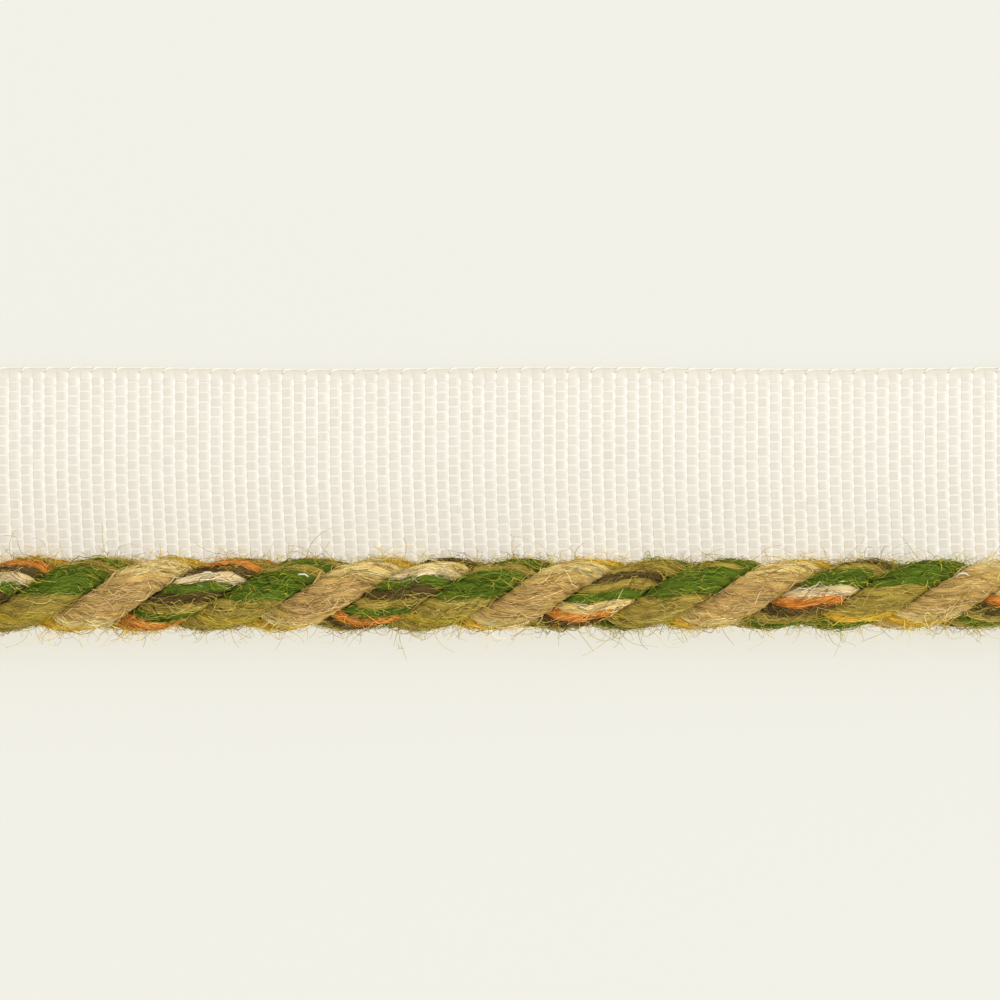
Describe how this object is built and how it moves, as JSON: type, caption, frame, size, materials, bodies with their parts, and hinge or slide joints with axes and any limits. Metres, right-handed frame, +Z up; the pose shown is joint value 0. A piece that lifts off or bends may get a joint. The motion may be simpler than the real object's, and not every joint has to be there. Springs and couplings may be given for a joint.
{
  "type": "flanged cord",
  "caption": "Cut length of twisted multicolour wool cord sewn along the margin of a flat ribbed cream tape, the flange by which it is sewn into a seam.",
  "frame": {"origin": "centre of the piece's footprint, on the surface that the tape lies on", "axes": "+X along the cord, +Y from the cord towards the tape's free edge, +Z up out of the tape's face"},
  "size_m": [0.104, 0.022, 0.007],
  "materials": {
    "tape": "woven matte tape of spun cream yarn, ribbed across its width",
    "tan_wool": "plied matte wool in light brown with one golden ply",
    "mixed_wool": "plied matte wool, each ply its own colour: green, dark brown, olive, cream and orange",
    "green_wool": "plied matte wool, half leaf green and half pale olive"
  },
  "bodies": {
    "root": {"flange_tape": "tape", "strand_tan": "tan_wool", "strand_mixed": "mixed_wool", "strand_green": "green_wool"}
  },
  "joints": []
}
